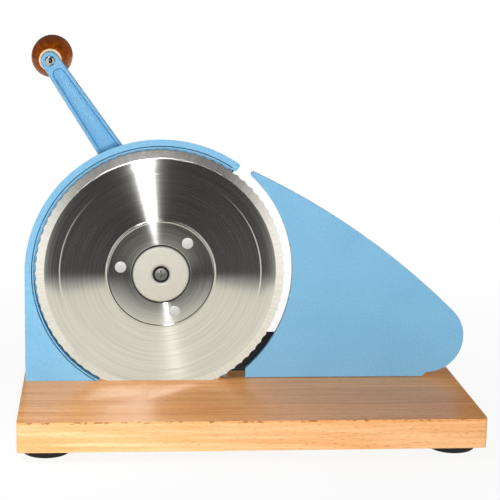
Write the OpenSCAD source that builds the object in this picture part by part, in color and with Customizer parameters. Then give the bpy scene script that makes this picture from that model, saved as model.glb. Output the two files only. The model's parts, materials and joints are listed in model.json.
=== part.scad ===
// Hand crank bread slicer: a geared round blade in a cast guard, a sliding stop plate, a wooden base.
// Millimetres. +X to the right, +Y to the back, +Z up. Origin on the table under the board's middle.

/* [Board] */
// Width of the board
board_w = 336; // [320:1:360]
// Depth of the board
board_d = 222; // [200:1:240]
// Thickness of the board
board_t = 22; // [20:0.5:26]
// Radius of the board's upright corners
board_corner_r = 3; // [2:0.5:5]
// Gap round the blade in the board's slot
slot_clear = 2; // [1:0.5:3]

/* [Feet] */
// Radius of a rubber foot
foot_r = 18; // [14:0.5:19]
// Height of a rubber foot
foot_h = 8; // [6:0.5:12]
// Foot centre from the board's side
foot_inset_x = 20; // [20:0.5:30]
// Foot centre from the board's front or rear
foot_inset_y = 27.5; // [20:0.5:35]
// Radius of a foot screw's shank
foot_screw_r = 2; // [1.5:0.25:2.5]
// Radius of a foot screw's head
foot_screw_head_r = 4.5; // [3.5:0.25:5.5]
// Thickness of a foot screw's head
foot_screw_head_t = 2.5; // [1.5:0.25:3]
// Rubber under a foot screw's head
foot_floor = 3; // [2.5:0.25:4]
// How far a foot screw goes into the board
foot_screw_bite = 14; // [8:0.5:16]

/* [Blade] */
// Outer radius of the blade
blade_r = 95; // [90:0.5:105]
// Thickness of the blade
blade_t = 1.5; // [1.2:0.1:1.7]
// Blade axis, from the board's middle
blade_x = -64; // [-66:0.5:-55]
// How far the blade dips into the board
blade_dip = 11; // [8:0.5:13]
// Scallops round the edge
blade_scallops = 82; // [60:1:96]
// Depth of a scallop
scallop_depth = 1; // [0.5:0.1:1.5]
// Width of the ground bevel
bevel_w = 7; // [5:0.5:9]
// Thickness left at the cutting edge
edge_t = 0.4; // [0.2:0.1:0.6]
// Radius of the pressed step ring
step_r = 76; // [72:0.5:80]
// Radius of the raised central disc
disc_r = 41; // [41:0.5:46]
// How far the middle of the blade stands forward of its edge
mid_rise = 0.8; // [0.4:0.1:1.2]
// How far the central disc stands forward of the edge
disc_rise = 2; // [1.6:0.1:2.6]
// Width of a pressed step
step_w = 2; // [1:0.5:3]
// Radius of the blade's centre hole
blade_hole_r = 22; // [20:0.5:24]
// Circle that the rivets lie on
rivet_pcd_r = 31; // [29:0.5:32]
// Radius of a rivet's head
rivet_head_r = 4.3; // [3:0.1:4.8]
// Radius of a rivet's shank
rivet_r = 2.5; // [2:0.1:2.8]
// How far a rivet goes into the gear
rivet_bite = 5; // [3:0.5:6]
// How far a rivet's head stands proud of the blade
rivet_proud = 0.25; // [0.1:0.05:0.5]
// Angle of the first rivet
rivet_ang = 50; // [0:1:119]

/* [Housing] */
// Front face of the housing, from the board's middle
front_y = -8; // [-15:0.5:0]
// Width of the ring's face
ring_w = 6.5; // [5:0.5:9]
// Gap between the blade's edge and the ring
ring_clear = 1; // [1:0.5:3]
// Distance of the groove in the ring's face from the ring's inner edge
groove_in = 0.9; // [0.8:0.1:2]
// Width of that groove
groove_w = 0.8; // [0.5:0.1:1]
// Depth of that groove
groove_d = 1; // [0.5:0.1:1.5]
// Angle where the ring ends, from the right
ring_end_ang = 55.5; // [55:0.5:70]
// Corner radius of the ring's end
ring_end_r = 1.6; // [1:0.1:2.5]
// How far the blade's outer face lies behind the ring's face
blade_recess = 1; // [0.5:0.1:1.5]
// How far the back wall stays inside the blade's edge on its open side
wall_inset = 9; // [6:0.5:14]
// Thickness of the back wall
wall_t = 3; // [2.5:0.5:5]
// Thickness of the base flange
flange_t = 6; // [5:0.5:9]
// Depth of the base flange behind the wall
flange_d = 38; // [34:0.5:40]
// Thickness of a rib
rib_t = 5; // [3:0.5:7]
// Depth of a rib at its foot
rib_d = 22; // [16:0.5:24]
// Height of a rib above the flange
rib_h = 40; // [30:1:45]
// Radius of a bolt's shank
bolt_r = 2.5; // [2:0.1:3]
// Radius of a bolt's head
bolt_head_r = 4.6; // [4:0.1:5.5]
// Thickness of a bolt's head
bolt_head_t = 4; // [3:0.25:5]
// How deep a bolt's head is sunk in the board
bolt_sink = 6; // [5.5:0.25:8]
// How far a bolt goes into what it holds
bolt_bite = 5; // [4:0.25:6]

/* [Hub] */
// Radius of the blade axle
axle_r = 6; // [5:0.25:6.5]
// Radius of the axle's collar
axle_collar_r = 9.5; // [8.5:0.25:11]
// Thickness of the axle's collar
axle_collar_t = 1.2; // [1:0.1:2]
// Length of the boss behind the wall
axle_boss_l = 8; // [6:0.5:10]
// Radius of the boss
axle_boss_r = 13; // [12:0.5:15]
// Wall of the gear's bush
gear_bush_wall = 2; // [1.5:0.25:2.5]
// Thickness of the thrust washer
thrust_t = 1; // [0.8:0.1:1.5]
// Radius of the hub cap
cap_r = 21.3; // [16:0.1:21.5]
// Thickness of the hub cap
cap_t = 3.2; // [2.8:0.1:4.5]
// Radius of the dimple in the cap
dimple_r = 7.5; // [6.5:0.25:9]
// Depth of the dimple
dimple_d = 1.4; // [1:0.1:1.8]
// Radius of the cap screw's head
cap_screw_head_r = 5; // [4:0.25:5.5]
// Thickness of the cap screw's head
cap_screw_head_t = 1.2; // [0.8:0.1:1.6]
// Radius of the cap screw's shank
cap_screw_r = 2.5; // [2:0.1:3]
// How far the cap screw goes into the axle
cap_screw_bite = 14; // [8:0.5:18]
// Thickness of the axle's washer
axle_washer_t = 1.5; // [1:0.25:2.5]
// Nut on the axle, across its flats
axle_nut_af = 18; // [16:0.5:20]
// Thickness of the nut on the axle
axle_nut_t = 7; // [5:0.5:8]

/* [Gears] */
// Module of the gears
gear_module = 1.5; // [1.4:0.02:1.6]
// Teeth on the blade gear
blade_teeth = 54; // [50:1:56]
// Teeth on the crank gear
crank_teeth = 26; // [22:1:27]
// Width of the blade gear's teeth
gear_w = 7.5; // [6.5:0.25:9]
// Radius of the face that the blade sits on
gear_seat_r = 38; // [36.5:0.5:38.5]
// Slack between the teeth, along the pitch circle
backlash = 0.3; // [0.2:0.05:0.5]
// Pressure angle of the teeth
pressure_ang = 20; // [18:0.5:25]
// Direction from the blade axis to the crank axis
gear_ang = 107.2; // [95:0.1:115]

/* [Crank] */
// Radius of the crank shaft
shaft_r = 5; // [4.5:0.25:6]
// Wall of a crank bush
crank_bush_wall = 2; // [1.5:0.25:2.5]
// Radius of a crank bush's flange
crank_bush_flange_r = 9.5; // [9:0.25:11]
// Thickness of the rear bush's flange
crank_bush_flange_t = 1.5; // [1:0.25:2.5]
// Length of the crank boss behind the wall
crank_boss_l = 23; // [20:0.5:30]
// Radius of the crank boss
crank_boss_r = 14; // [12:0.5:16]
// Crank throw, from its shaft to its handle
crank_l = 119; // [105:0.5:121]
// Direction of the crank at rest, from the right
crank_ang = 124; // [90:1:150]
// Radius of the arm where it meets its hub
hub_r = 11; // [10:0.5:12]
// Radius of the hub
hub_collar_r = 13; // [12.5:0.25:15]
// Distance that the arm is set back along its hub
hub_lead = 7.2; // [5:0.2:10]
// Thickness of the crank arm
arm_t = 9; // [7:0.5:11]
// Length of the hub behind the arm
hub_tail = 2; // [1:0.5:4]
// Radius of the arm's tip
arm_tip_r = 7; // [6:0.25:8]
// Width of the rim round the arm's channel
arm_rim = 3; // [2:0.1:3.5]
// Depth of the arm's channel
channel_d = 3; // [2:0.25:5]
// Start of the channel, from the tip's centre
channel_tip_gap = 7.4; // [6.5:0.2:10]
// End of the channel, from the shaft's centre
channel_hub_gap = 16; // [15:0.5:24]
// Thickness of the crank's washer
crank_washer_t = 1.5; // [1:0.25:2.5]
// Nut on the crank shaft, across its flats
crank_nut_af = 16; // [14:0.5:18]
// Thickness of the nut on the crank shaft
crank_nut_t = 6; // [4:0.5:8]
// Thread that shows past a nut
thread_end = 1.5; // [1:0.25:3]

/* [Handle] */
// Largest radius of the handle
handle_r = 16.2; // [14:0.2:16.4]
// Radius of the handle's near end
handle_near_r = 9; // [8:0.25:10]
// Radius of the handle's far end
handle_far_r = 9; // [8.5:0.25:11]
// Length of the handle
handle_l = 75; // [60:1:90]
// Thickest place of the handle, as a part of its length
handle_belly = 0.72; // [0.6:0.01:0.8]
// Radius of the handle's spindle
spindle_r = 3; // [2.5:0.1:3.4]
// Radius of the dome on the spindle
dome_r = 4.2; // [4:0.1:5]
// Height of the dome
dome_h = 2.6; // [1.5:0.1:3.5]
// Radius of the ring between arm and handle
handle_washer_r = 8.75; // [7:0.25:9]
// Thickness of the ring between arm and handle
handle_washer_t = 1.5; // [1:0.25:2.5]
// Radius of the recess in the handle's far end
handle_recess_r = 7; // [6.5:0.25:7.5]
// Depth of that recess
handle_recess_d = 9; // [8:0.5:12]
// Nut in the handle, across its flats
handle_nut_af = 10; // [8:0.5:11]
// Thickness of the nut in the handle
handle_nut_t = 5; // [3:0.5:5.5]

/* [Stop plate] */
// Thickness of the stop plate
plate_t = 4; // [3:0.25:5]
// Gap between the blade's edge and the plate's arc
slice_gap = 6; // [5.5:0.25:9]
// Slice that is set at rest
slice_rest = 4.7; // [2:0.1:8]
// Thickest slice
slice_max = 16.7; // [12:0.1:18]
// Direction from the blade axis to the plate's upper tip
plate_tip_ang = 47.4; // [40:0.2:50]
// Radius of the plate's upper tip
plate_tip_r = 2; // [1.5:0.1:3]
// Radius of the plate's long upper edge
plate_crown_r = 586; // [450:2:800]
// Radius of the plate's right corner
plate_corner_r = 28.5; // [20:0.5:30]
// How far the right corner stands past the board
plate_overhang = 5.9; // [2:0.1:10]
// Height of the right corner's underside above the board
plate_corner_lift = 3.8; // [2.5:0.1:6]
// Gap between plate and board
plate_lift = 0.5; // [0.4:0.1:1]
// Left end of the plate's foot, from the blade axis
plate_foot_x = 66.5; // [62:0.5:72]

/* [Guide and adjuster] */
// Middle of the guide block, from the board's middle
guide_x = 76; // [72:0.5:80]
// Width of the guide block
block_w = 128; // [124:0.5:130]
// How far the block runs on to the left, behind the blade
block_reach = 21; // [0:0.5:22]
// Height of the guide block
block_h = 24; // [21:0.5:30]
// Depth of the guide block
block_d = 30; // [26:0.5:34]
// Free way between plate and block at the thickest slice
block_clear = 1; // [0.8:0.1:2]
// Distance between the guide rods
rod_spacing = 76; // [70:0.5:84]
// Radius of a guide rod
rod_r = 5; // [4:0.25:6]
// Height of the rods above the board
rod_h = 12; // [11:0.5:13]
// Length of a rod behind the block
rod_tail = 13; // [8:0.5:20]
// Radius of a boss on the plate's back
plate_boss_r = 9; // [8:0.25:10]
// Length of a boss on the plate's back
plate_boss_l = 3.5; // [2.5:0.25:5]
// Height of the adjuster above the board
adjuster_h = 20; // [19:0.5:24]
// Radius of the adjuster's sleeve
sleeve_r = 8; // [7:0.25:8.5]
// How far the sleeve's end stays inside the block at the thickest slice
sleeve_end_gap = 3; // [2:0.25:5]
// Radius of the hump round the sleeve
hump_r = 15; // [14.5:0.25:17]
// Radius of the adjuster's spindle
adjuster_r = 4; // [3.5:0.25:4.5]
// Radius of the spindle's collar
adjuster_collar_r = 7; // [6:0.25:7.5]
// Thickness of the spindle's collar
adjuster_collar_t = 3; // [2:0.25:4]
// Floor of the retainer behind the collar
retainer_floor = 3; // [2:0.25:4]
// Radius of the retainer
retainer_r = 15; // [14:0.25:16]
// Circle that the retainer's screws lie on
retainer_pcd_r = 11.3; // [11:0.1:12]
// Radius of a retainer screw's shank
retainer_screw_r = 1.5; // [1.2:0.1:1.7]
// Radius of a retainer screw's head
retainer_head_r = 2.6; // [2.2:0.1:2.8]
// Thickness of a retainer screw's head
retainer_head_t = 2; // [1.5:0.1:2.4]
// How far a retainer screw goes into the block
retainer_bite = 10; // [6:0.5:14]
// Radius of the dial
dial_r = 17; // [15:0.25:18]
// Thickness of the dial
dial_t = 12; // [9:0.5:16]
// Gap between dial and retainer
dial_gap = 3; // [2.6:0.1:4]
// Grip notches round the dial
dial_notches = 18; // [12:1:24]
// Radius of a grip notch
dial_notch_r = 1.6; // [1:0.1:2]
// Nut on the dial, across its flats
dial_nut_af = 10; // [8:0.5:11]
// Thickness of the nut on the dial
dial_nut_t = 4; // [3:0.25:5]

/* [Fits] */
// Radial clearance of a running fit
run_c = 0.05; // [0.02:0.01:0.1]
// Radial clearance of a fixed fit
fixed_c = 0.02; // [0.01:0.01:0.05]
// End gap between faces that turn past each other
end_c = 0.3; // [0.2:0.05:0.5]

/* [Hidden] */
$fn = 96;

housing_blue = "#9fc6da";
steel = "#c9cbcc";
bronze = "#b08a4a";
black = "#26272a";

// Heights
board_z = foot_h;
top_z = foot_h + board_t;
blade_z = top_z + blade_r - blade_dip;
blade_axis = [blade_x, blade_z];

// Radii round the blade
recess_r = blade_r + ring_clear;
ring_r = recess_r + ring_w;
wall_r = blade_r - wall_inset;
left_x = blade_x - ring_r;

// Faces along Y, from the blade's front to the handle's far end
blade_y = front_y + blade_recess;
mid_y = blade_y - mid_rise;
disc_y = blade_y - disc_rise;
blade_back_y = blade_y + blade_t;
seat_y = disc_y + blade_t;
teeth_y = mid_y + blade_t + end_c;
gear_y = teeth_y + gear_w;
thrust_y = gear_y + end_c;
collar_y = thrust_y + thrust_t;
wall_y = collar_y + axle_collar_t;
back_y = wall_y + wall_t;
axle_boss_y = back_y + axle_boss_l;
axle_nut_y = axle_boss_y + axle_washer_t;
cap_y = seat_y - end_c;
pinion_y = blade_back_y + end_c;
bush_flange_y = gear_y + end_c;
crank_boss_y = back_y + crank_boss_l;
hub_y = crank_boss_y + crank_bush_flange_t + end_c;
arm_y = hub_y + hub_lead;
arm_back_y = arm_y + arm_t;
hub_back_y = arm_back_y + hub_tail;
crank_nut_y = hub_back_y + crank_washer_t;
handle_y = arm_back_y + handle_washer_t + end_c;
handle_end_y = handle_y + handle_l;
handle_seat_y = handle_end_y - handle_recess_d;
slot_y = front_y;
slot_back_y = blade_back_y + slot_clear;

// Gear train
blade_pitch_r = gear_module * blade_teeth / 2;
crank_pitch_r = gear_module * crank_teeth / 2;
crank_axis = blade_axis + (blade_pitch_r + crank_pitch_r) * [cos(gear_ang), sin(gear_ang)];
handle_axis = crank_axis + crank_l * [cos(crank_ang), sin(crank_ang)];
gear_bush_r = axle_r + gear_bush_wall;
crank_bush_r = shaft_r + crank_bush_wall;

// Stop plate and its guide
plate_y = front_y + slice_rest;
plate_back_y = plate_y + plate_t;
slide_back = slice_max - slice_rest;
block_y = plate_back_y + plate_boss_l + slide_back + block_clear;
block_back_y = block_y + block_d;
rod_z = top_z + rod_h;
rod_xs = [guide_x - rod_spacing / 2, guide_x + rod_spacing / 2];
adjuster_axis = [guide_x, top_z + adjuster_h];
sleeve_end_y = block_back_y - sleeve_end_gap - slide_back;
spindle_y = plate_back_y + slide_back + block_clear;
collar_pocket_d = adjuster_collar_t + end_c;
retainer_back_y = block_back_y + collar_pocket_d + retainer_floor;
dial_y = retainer_back_y + dial_gap;
dial_nut_y = dial_y + dial_t;
arc_r = blade_r + slice_gap;

// Bolts from below: three hold the housing, four the guide block
flange_mid_y = back_y + flange_d * 0.6;
flange_right_x = blade_x + wall_r * 0.6;
block_left_x = min(guide_x - block_w / 2, max(guide_x - block_w / 2 - block_reach, flange_right_x + rib_t / 2));
bolt_edge = 2 * bolt_head_r + rib_t;
housing_bolt_xs = [left_x + bolt_edge, (left_x + flange_right_x) / 2, flange_right_x - bolt_edge];
rib_xs = [left_x + rib_t, (housing_bolt_xs[0] + housing_bolt_xs[1]) / 2, flange_right_x - rib_t];
block_bolt_dx = block_w / 2 - 2 * bolt_head_r;
block_bolt_dy = block_d / 2 - 1.5 * bolt_head_r;
block_mid_y = block_y + block_d / 2;
foot_dx = board_w / 2 - foot_inset_x;
foot_dy = board_d / 2 - foot_inset_y;
rivet_count = 3;
far = 3 * ring_r;

// Point at radius r and angle a
function polar(r, a) = r * [cos(a), sin(a)];

// Points of an arc round c, from angle a to angle b
function arc(c, r, a, b, n) = [for (i = [0:n]) c + polar(r, a + (b - a) * i / n)];

// Direction from p to q
function heading(p, q) = atan2(q[1] - p[1], q[0] - p[0]);

// Involute of a pressure angle, in degrees
function involute(a) = tan(a) * 180 / PI - a;

// Half of a tooth's width at radius r, as an angle
function tooth_half(z, r) =
    let (pitch_r = gear_module * z / 2, base_r = pitch_r * cos(pressure_ang))
    90 / z - backlash / (4 * pitch_r) * 180 / PI + involute(pressure_ang)
        - involute(acos(min(1, base_r / max(r, base_r))));

// Outline of a spur gear with a tooth centred on the X axis
function gear_points(z) =
    let (pitch_r = gear_module * z / 2, root = pitch_r - 1.25 * gear_module,
        tip = pitch_r + gear_module, n = 3)
    [for (i = [0:z - 1], side = [-1, 1], k = [0:n])
        let (r = root + (tip - root) * (side < 0 ? k : n - k) / n)
        polar(r, 360 * i / z + side * tooth_half(z, r))];

// Outline of the blade: shallow hollows that meet in points
function blade_points(n = 4) =
    [for (i = [0:blade_scallops * n - 1])
        let (u = i % n / n)
        polar(blade_r - scallop_depth * (1 - pow(2 * u - 1, 2)), 360 * i / (blade_scallops * n))];

// Radius of the handle at part t of its length: a quick swell to the belly, then a round end
function handle_radius(t) =
    t < handle_belly
    ? handle_near_r + (handle_r - handle_near_r) * (1 - pow(1 - t / handle_belly, 3.5))
    : sqrt(pow(handle_r, 2) - (pow(handle_r, 2) - pow(handle_far_r, 2))
        * pow((t - handle_belly) / (1 - handle_belly), 2));

// Centre of a circle of radius r that two smaller circles touch from inside, on the right of p to q
function crown_centre(p, rp, q, rq, r) =
    let (d = norm(q - p), u = (q - p) / d, a = (pow(r - rp, 2) - pow(r - rq, 2) + d * d) / (2 * d),
        h = sqrt(pow(r - rp, 2) - a * a))
    p + a * u + h * [u[1], -u[0]];

// Outline of the stop plate, clockwise from its upper tip
function plate_points() =
    let (tip = blade_axis + polar(arc_r + plate_tip_r, plate_tip_ang),
        corner = [board_w / 2 + plate_overhang - plate_corner_r, top_z + plate_corner_lift + plate_corner_r],
        crown = crown_centre(tip, plate_tip_r, corner, plate_corner_r, plate_crown_r),
        foot_x = blade_x + plate_foot_x, foot_z = top_z + plate_lift, drop = plate_corner_lift - plate_lift,
        low_ang = -acos(plate_foot_x / arc_r))
    concat(
        arc(tip, plate_tip_r, plate_tip_ang + 180, heading(crown, tip), 8),
        arc(crown, plate_crown_r, heading(crown, tip), heading(crown, corner), 24),
        arc(corner, plate_corner_r, heading(crown, corner), -90, 24),
        [[corner[0] - drop, foot_z], [foot_x, foot_z]],
        arc(blade_axis, arc_r, low_ang, plate_tip_ang, 40));

// A flat shape drawn in X and Z, as a plate between two places along Y
module slab(y0, y1) { translate([0, y1, 0]) rotate([90, 0, 0]) linear_extrude(y1 - y0) children(); }

// A round bar along Y
module bar(c, y0, y1, r) { translate([c[0], y1, c[1]]) rotate([90, 0, 0]) cylinder(r = r, h = y1 - y0); }

// A ring along Y
module ring(c, y0, y1, r, bore) {
    difference() {
        bar(c, y0, y1, r);
        bar(c, y0 - 1, y1 + 1, bore);
    }
}

// A hexagon nut along Y
module nut(c, y0, y1, across, bore) {
    difference() {
        translate([c[0], y1, c[1]]) rotate([90, 0, 0])
            cylinder(r = across / 2 / cos(30), h = y1 - y0, $fn = 6);
        bar(c, y0 - 1, y1 + 1, bore);
    }
}

// A turned shape along Y, from points of radius and place along Y
module turned(c, points) { translate([c[0], 0, c[1]]) rotate([-90, 0, 0]) rotate_extrude() polygon(points); }

// Two round ends joined by their tangents, from p to q
module tapered(p, rp, q, rq) {
    a = acos((rp - rq) / norm(q - p));
    h = heading(p, q);
    polygon(concat(arc(p, rp, h + a, h + 360 - a, 24), arc(q, rq, h - a, h + a, 24)));
}

module foot_places() {
    for (sx = [-1, 1], sy = [-1, 1]) translate([sx * foot_dx, sy * foot_dy, 0]) children();
}
module housing_bolt_places() { for (x = housing_bolt_xs) translate([x, flange_mid_y, 0]) children(); }
module block_bolt_places() {
    for (sx = [-1, 1], sy = [-1, 1])
        translate([guide_x + sx * block_bolt_dx, block_mid_y + sy * block_bolt_dy, 0]) children();
}

// A bolt that comes up through the board, grown by c
module bolt(c = 0) {
    translate([0, 0, board_z + bolt_sink - bolt_head_t - (c > 0 ? bolt_sink : 0)])
        cylinder(r = bolt_head_r + 4 * c, h = bolt_head_t + (c > 0 ? bolt_sink : 0));
    translate([0, 0, board_z + bolt_sink]) cylinder(r = bolt_r + c, h = board_t - bolt_sink + bolt_bite + c);
}

module base_board() {
    color("#f2c48d") difference() {
        translate([0, 0, board_z]) linear_extrude(board_t) {
            for (sx = [-1, 1], sy = [-1, 1])
                translate([sx * (board_w / 2 - board_corner_r), sy * (board_d / 2 - board_corner_r)])
                    circle(board_corner_r);
            square([board_w, board_d - 2 * board_corner_r], center = true);
            square([board_w - 2 * board_corner_r, board_d], center = true);
        }
        bar(blade_axis, slot_y, slot_back_y, blade_r + slot_clear);
        housing_bolt_places() bolt(fixed_c);
        block_bolt_places() bolt(fixed_c);
        foot_places() translate([0, 0, board_z - 1])
            cylinder(r = foot_screw_r + fixed_c, h = foot_screw_bite + 1 + fixed_c);
    }
}

module foot(sx, sy) {
    edge = foot_h / 6;
    color(black) translate([sx * foot_dx, sy * foot_dy, 0]) difference() {
        rotate_extrude() polygon([[0, 0], [foot_r - edge, 0], [foot_r, edge], [foot_r, foot_h], [0, foot_h]]);
        translate([0, 0, -1]) cylinder(r = foot_screw_head_r + 1, h = foot_floor + foot_screw_head_t / 2 + 1);
        translate([0, 0, -1]) cylinder(r = foot_screw_r + fixed_c, h = foot_h + 2);
    }
}

module foot_screws() {
    seat = foot_floor + foot_screw_head_t / 2;
    color(steel) foot_places() {
        translate([0, 0, seat - foot_screw_head_t]) cylinder(r = foot_screw_head_r, h = foot_screw_head_t);
        translate([0, 0, seat]) cylinder(r = foot_screw_r, h = foot_h - seat + foot_screw_bite);
    }
}

// The side that the guard covers: all but the right of the blade below the ring's end
module guarded_side() {
    floor_z = top_z - blade_z;
    translate(blade_axis) polygon([
        [0, 0], polar(far, ring_end_ang), [0, far], [-far, far], [-far, floor_z], [0, floor_z]]);
}

// Outline of the guard: a round top and a straight left side
module guard_outline() {
    intersection() {
        union() {
            translate(blade_axis) circle(ring_r);
            translate([left_x, top_z]) square([ring_r, blade_z - top_z]);
        }
        guarded_side();
    }
}

module housing() {
    groove_r = recess_r + groove_in;
    color(housing_blue) difference() {
        union() {
            slab(front_y, wall_y) difference() {
                guard_outline();
                translate(blade_axis) circle(recess_r);
            }
            slab(front_y, back_y) hull() for (r = [ring_end_r, ring_w - ring_end_r])
                translate(blade_axis + polar(recess_r + r, ring_end_ang)) circle(ring_end_r);
            slab(wall_y, back_y) {
                guard_outline();
                intersection() {
                    translate(blade_axis) circle(wall_r);
                    translate([blade_x - far, top_z]) square(2 * far);
                }
            }
            bar(blade_axis, back_y - 1, axle_boss_y, axle_boss_r);
            bar(crank_axis, back_y - 1, crank_boss_y, crank_boss_r);
            translate([left_x, wall_y, top_z]) cube([flange_right_x - left_x, flange_d + wall_t, flange_t]);
            for (x = rib_xs) translate([x - rib_t / 2, back_y, top_z + flange_t]) rotate([90, 0, 90])
                linear_extrude(rib_t) polygon([[-1, -1], [rib_d, -1], [rib_d, 2], [0, rib_h], [-1, rib_h]]);
            translate([crank_axis[0] - rib_t / 2, back_y - 1, top_z + flange_t - 1])
                cube([rib_t, axle_boss_l, crank_axis[1] - top_z - flange_t]);
        }
        ring(blade_axis, front_y - 1, front_y + groove_d, groove_r + groove_w, groove_r);
        bar(blade_axis, front_y, axle_boss_y + 1, axle_r + fixed_c);
        bar(crank_axis, front_y, crank_boss_y + 1, crank_bush_r + fixed_c);
        housing_bolt_places() bolt(fixed_c);
    }
}

module housing_bolts() { color(steel) housing_bolt_places() bolt(); }

module blade_axle() {
    color(steel) difference() {
        union() {
            bar(blade_axis, cap_y, axle_nut_y + axle_nut_t + thread_end, axle_r);
            bar(blade_axis, collar_y, wall_y, axle_collar_r);
        }
        bar(blade_axis, cap_y - 1, cap_y + cap_screw_bite + fixed_c, cap_screw_r + fixed_c);
    }
}

module thrust_washer() { color(bronze) ring(blade_axis, thrust_y, collar_y, axle_collar_r, axle_r + run_c); }
module axle_washer() {
    color(steel) ring(blade_axis, axle_boss_y, axle_nut_y, axle_boss_r - 1, axle_r + fixed_c);
}
module axle_nut() {
    color(steel) nut(blade_axis, axle_nut_y, axle_nut_y + axle_nut_t, axle_nut_af, axle_r + fixed_c);
}

module hub_cap() {
    front = cap_y - cap_t;
    edge = cap_t / 4;
    color("#dedcd2") turned(blade_axis, [
        [cap_screw_r + fixed_c, cap_y], [cap_r, cap_y], [cap_r, front + edge], [cap_r - edge, front],
        [dimple_r, front], [cap_screw_head_r, front + dimple_d], [cap_screw_r + fixed_c, front + dimple_d]]);
}

module cap_screw() {
    seat = cap_y - cap_t + dimple_d;
    rim = cap_screw_head_t / 2;
    color(steel) turned(blade_axis, [
        [0, cap_y + cap_screw_bite], [cap_screw_r, cap_y + cap_screw_bite], [cap_screw_r, seat],
        [cap_screw_head_r - fixed_c, seat], [cap_screw_head_r - rim, seat - cap_screw_head_t],
        [0, seat - cap_screw_head_t]]);
}

module rivet_places() {
    for (i = [0:rivet_count - 1])
        translate([blade_x, 0, blade_z] + rivet_pcd_r * [cos(rivet_ang + 360 * i / rivet_count), 0,
            sin(rivet_ang + 360 * i / rivet_count)]) children();
}

module blade() {
    bevel_r = blade_r - bevel_w;
    edge_y = blade_back_y - edge_t;
    color("#d8dadb") difference() {
        intersection() {
            turned(blade_axis, [
                [blade_hole_r, disc_y], [disc_r, disc_y], [disc_r + step_w, mid_y], [step_r, mid_y],
                [step_r + step_w, blade_y], [bevel_r, blade_y],
                [blade_r + 1, edge_y + (edge_y - blade_y) / bevel_w],
                [blade_r + 1, blade_back_y], [step_r + step_w, blade_back_y], [step_r, mid_y + blade_t],
                [disc_r + step_w, mid_y + blade_t], [disc_r, seat_y], [blade_hole_r, seat_y]]);
            translate([blade_x, 0, blade_z]) slab(disc_y - 1, blade_back_y + 1) polygon(blade_points());
        }
        rivet_places() bar([0, 0], disc_y - 1, seat_y + 1, rivet_head_r + fixed_c);
    }
}

module blade_rivets() {
    color("#e4e2da") rivet_places() {
        bar([0, 0], disc_y - rivet_proud, seat_y, rivet_head_r);
        bar([0, 0], seat_y, seat_y + rivet_bite, rivet_r);
    }
}

module gear(c, teeth, turn, y0, y1) {
    translate([c[0], 0, c[1]]) slab(y0, y1) rotate(turn) polygon(gear_points(teeth));
}

module blade_gear() {
    color("#b9b7ae") difference() {
        union() {
            gear(blade_axis, blade_teeth, gear_ang, teeth_y, gear_y);
            bar(blade_axis, seat_y, teeth_y + 1, gear_seat_r);
        }
        bar(blade_axis, seat_y - 1, gear_y + 1, gear_bush_r + fixed_c);
        rivet_places() bar([0, 0], seat_y - 1, seat_y + rivet_bite + fixed_c, rivet_r + fixed_c);
    }
}

module gear_bush() { color(bronze) ring(blade_axis, seat_y, gear_y, gear_bush_r, axle_r + run_c); }

module crank_gear() {
    color("#b9b7ae") difference() {
        gear(crank_axis, crank_teeth, gear_ang + 180 + 180 / crank_teeth, pinion_y, gear_y);
        bar(crank_axis, pinion_y - 1, gear_y + 1, shaft_r + fixed_c);
    }
}

module crank_shaft() {
    color(steel) bar(crank_axis, pinion_y, crank_nut_y + crank_nut_t + thread_end, shaft_r);
}

// A flanged bush: a sleeve from y0 to y1 with its flange from f0 to f1
module crank_bush(y0, y1, f0, f1) {
    color(bronze) difference() {
        union() {
            bar(crank_axis, y0, y1, crank_bush_r);
            bar(crank_axis, f0, f1, crank_bush_flange_r);
        }
        bar(crank_axis, min(y0, f0) - 1, max(y1, f1) + 1, shaft_r + run_c);
    }
}

module crank_bush_front() { crank_bush(wall_y, back_y + crank_boss_l * 0.4, bush_flange_y, wall_y); }
module crank_bush_rear() {
    crank_bush(back_y + crank_boss_l * 0.5, crank_boss_y, crank_boss_y, crank_boss_y + crank_bush_flange_t);
}

module crank_arm() {
    along = (handle_axis - crank_axis) / crank_l;
    taper = (hub_r - arm_tip_r) / crank_l;
    tip_r = arm_tip_r + channel_tip_gap * taper - arm_rim;
    end_r = hub_r - channel_hub_gap * taper - arm_rim;
    color(housing_blue) difference() {
        union() {
            slab(arm_y, arm_back_y) tapered(crank_axis, hub_r, handle_axis, arm_tip_r);
            bar(crank_axis, hub_y, hub_back_y, hub_collar_r);
        }
        slab(arm_y - 1, arm_y + channel_d) tapered(crank_axis + (channel_hub_gap + end_r) * along, end_r,
            handle_axis - (channel_tip_gap + tip_r) * along, tip_r);
        bar(crank_axis, hub_y - 1, hub_back_y + 1, shaft_r + fixed_c);
        bar(handle_axis, arm_y - 1, arm_back_y + 1, spindle_r + fixed_c);
    }
}

module crank_washer() {
    color(steel) ring(crank_axis, hub_back_y, crank_nut_y, hub_r - 1, shaft_r + fixed_c);
}
module crank_nut() {
    color(steel) nut(crank_axis, crank_nut_y, crank_nut_y + crank_nut_t, crank_nut_af, shaft_r + fixed_c);
}

module handle_spindle() {
    tail_y = handle_seat_y + handle_washer_t + handle_nut_t + thread_end / 2 + end_c;
    dome = [for (i = [0:6]) [dome_r * cos(15 * i), arm_y - dome_h * sin(15 * i)]];
    color("#dfe1e3")
        turned(handle_axis, concat(dome, [[0, tail_y], [spindle_r, tail_y], [spindle_r, arm_y]]));
}

module handle_washer() {
    y1 = arm_back_y + handle_washer_t;
    color("#f0d3b4") ring(handle_axis, arm_back_y, y1, handle_washer_r, spindle_r + fixed_c);
}

module handle() {
    steps = 32;
    profile = [for (i = [0:steps]) [handle_radius(i / steps), handle_y + handle_l * i / steps]];
    color("#8a4a2c") turned(handle_axis, concat(profile, [
        [handle_recess_r, handle_end_y], [handle_recess_r, handle_seat_y],
        [spindle_r + run_c, handle_seat_y], [spindle_r + run_c, handle_y]]));
}

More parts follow.
